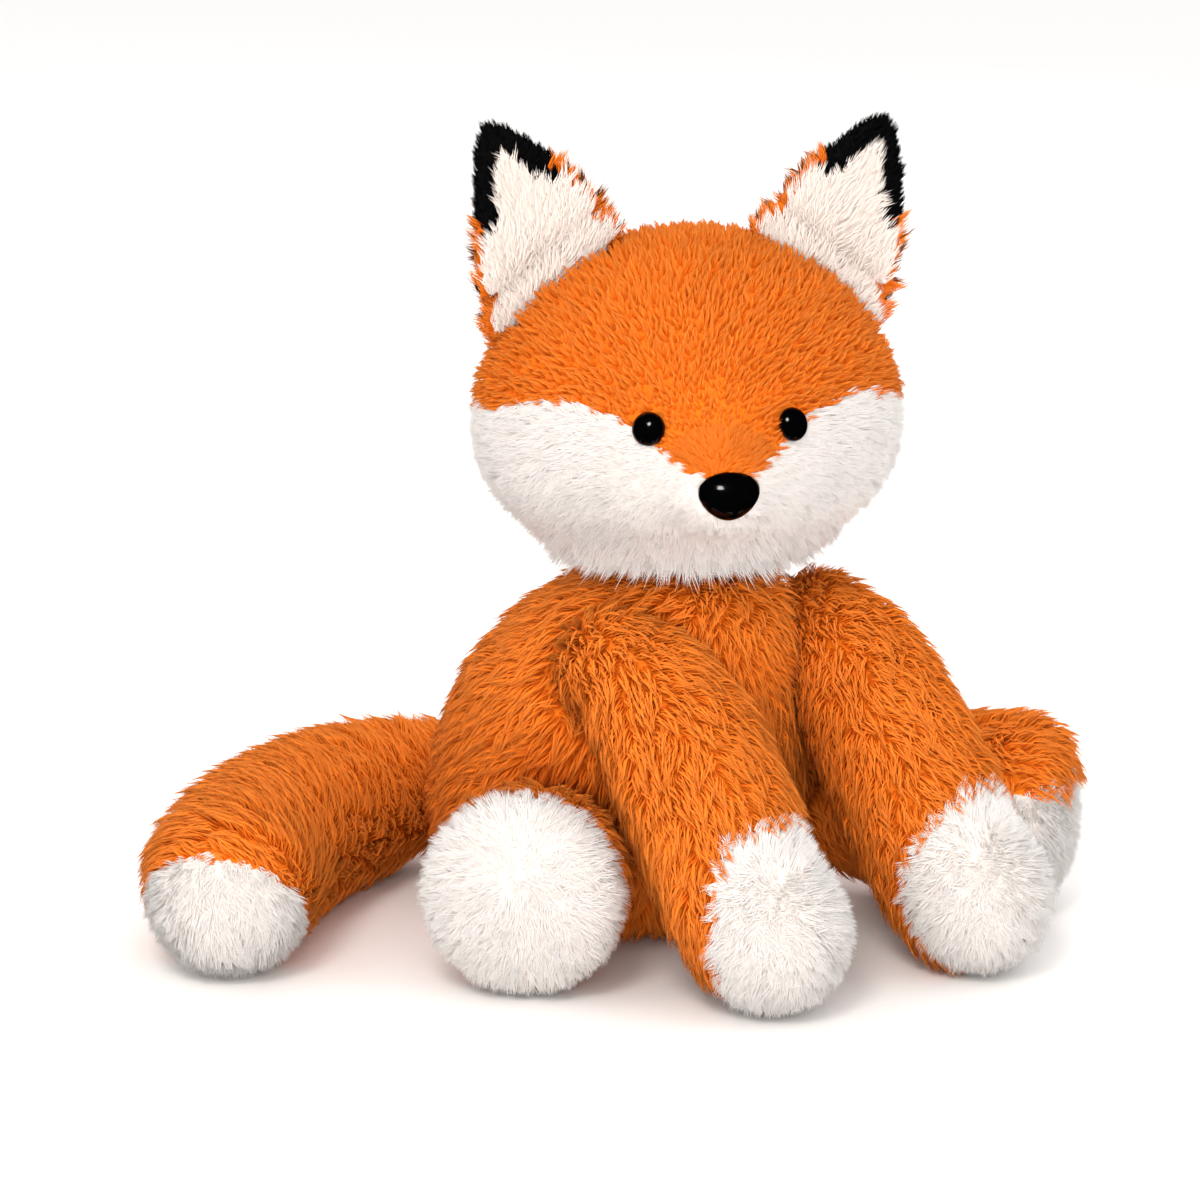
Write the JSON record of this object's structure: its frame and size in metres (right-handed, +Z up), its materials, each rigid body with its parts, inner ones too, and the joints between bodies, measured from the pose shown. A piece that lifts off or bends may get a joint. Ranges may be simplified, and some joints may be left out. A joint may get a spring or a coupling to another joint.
{
  "type": "plush fox",
  "caption": "Seated plush fox with upright ears, turned head, hanging arms, short legs and a tail laid round its side, all sewn on so that they turn.",
  "frame": {"origin": "the middle of the underside of the seat, on the surface that the fox sits on", "axes": "+Z up, -Y the way that the chest faces, +X the fox's own left"},
  "size_m": [0.2266, 0.1937, 0.198],
  "materials": {
    "orange_fur_fabric": "long-pile fur fabric, pile laid down in locks",
    "white_fur_fabric": "short soft-pile fur fabric",
    "black_fur_fabric": "short-pile fur fabric",
    "polyester_filling": "loose fibre, unseen",
    "closing_thread": "sewing thread, unseen",
    "gloss_black_plastic": "moulded, high gloss",
    "washer_plastic": "moulded, unseen",
    "pellet_bag": "bagged pellets, unseen"
  },
  "bodies": {
    "torso": {"chest_panel": "orange_fur_fabric", "back_panel": "orange_fur_fabric", "seat_panel": "orange_fur_fabric", "torso_stuffing": "polyester_filling", "seat_pellet_bag": "pellet_bag", "left_shoulder_stitching": "closing_thread", "right_shoulder_stitching": "closing_thread"},
    "neck": {"neck_stitching": "closing_thread"},
    "left_hip": {"left_hip_stitching": "closing_thread"},
    "right_hip": {"right_hip_stitching": "closing_thread"},
    "tail_root": {"tail_root_stitching": "closing_thread"},
    "left_arm": {"left_arm_sleeve": "orange_fur_fabric", "left_paw": "white_fur_fabric", "left_arm_stuffing": "polyester_filling"},
    "right_arm": {"right_arm_sleeve": "orange_fur_fabric", "right_paw": "white_fur_fabric", "right_arm_stuffing": "polyester_filling"},
    "left_leg": {"left_leg_sleeve": "orange_fur_fabric", "left_foot": "white_fur_fabric", "left_leg_stuffing": "polyester_filling"},
    "right_leg": {"right_leg_sleeve": "orange_fur_fabric", "right_foot": "white_fur_fabric", "right_leg_stuffing": "polyester_filling"},
    "tail": {"tail_sleeve": "orange_fur_fabric", "tail_tip": "white_fur_fabric", "tail_stuffing": "polyester_filling"},
    "left_ear": {"left_ear_back": "orange_fur_fabric", "left_ear_tip": "black_fur_fabric", "left_ear_lining": "white_fur_fabric"},
    "right_ear": {"right_ear_back": "orange_fur_fabric", "right_ear_tip": "black_fur_fabric", "right_ear_lining": "white_fur_fabric"},
    "head": {"head_crown": "orange_fur_fabric", "left_cheek": "white_fur_fabric", "right_cheek": "white_fur_fabric", "head_stuffing": "polyester_filling", "left_eye": "gloss_black_plastic", "right_eye": "gloss_black_plastic", "left_eye_washer": "washer_plastic", "right_eye_washer": "washer_plastic", "nose": "gloss_black_plastic", "nose_washer": "washer_plastic"}
  },
  "joints": [
    {"name": "head_turn", "type": "hinge", "parent": "torso", "child": "neck", "pos_m": [0, -0.024, 0.07623], "axis": [0, 0, 1], "range_deg": [-25, 50]},
    {"name": "head_nod", "type": "hinge", "parent": "neck", "child": "head", "pos_m": [0, -0.024, 0.07623], "axis": [-0.8829, 0.4695, 0], "range_deg": [-10, 10]},
    {"name": "left_ear_fold", "type": "hinge", "parent": "head", "child": "left_ear", "pos_m": [0.0286, -0.03921, 0.15995], "axis": [0.6764, -0.3596, -0.6428], "range_deg": [-35, 15]},
    {"name": "right_ear_fold", "type": "hinge", "parent": "head", "child": "right_ear", "pos_m": [-0.0286, -0.00879, 0.15995], "axis": [-0.6764, 0.3596, -0.6428], "range_deg": [-15, 35]},
    {"name": "left_arm_raise", "type": "hinge", "parent": "torso", "child": "left_arm", "pos_m": [0.0318, -0.036, 0.073], "axis": [-0.5547, -0.8321, 0], "range_deg": [0, 32]},
    {"name": "right_arm_raise", "type": "hinge", "parent": "torso", "child": "right_arm", "pos_m": [-0.0318, -0.036, 0.073], "axis": [-0.5547, 0.8321, 0], "range_deg": [0, 32]},
    {"name": "left_leg_splay", "type": "hinge", "parent": "torso", "child": "left_hip", "pos_m": [0.04537, -0.02835, 0.025], "axis": [0, 0, 1], "range_deg": [0, 22]},
    {"name": "left_leg_lift", "type": "hinge", "parent": "left_hip", "child": "left_leg", "pos_m": [0.04537, -0.02835, 0.025], "axis": [-0.7814, -0.624, 0], "range_deg": [-24, 0]},
    {"name": "right_leg_splay", "type": "hinge", "parent": "torso", "child": "right_hip", "pos_m": [-0.04537, -0.02835, 0.025], "axis": [0, 0, -1], "range_deg": [0, 22]},
    {"name": "right_leg_lift", "type": "hinge", "parent": "right_hip", "child": "right_leg", "pos_m": [-0.04537, -0.02835, 0.025], "axis": [-0.6355, 0.7721, 0], "range_deg": [-24, 0]},
    {"name": "tail_swing", "type": "hinge", "parent": "torso", "child": "tail_root", "pos_m": [-0.008, 0.053, 0.023], "axis": [0, 0, -1], "range_deg": [0, 50]},
    {"name": "tail_lift", "type": "hinge", "parent": "tail_root", "child": "tail", "pos_m": [-0.008, 0.053, 0.023], "axis": [-0.4118, 0.9113, 0], "range_deg": [0, 30]}
  ]
}
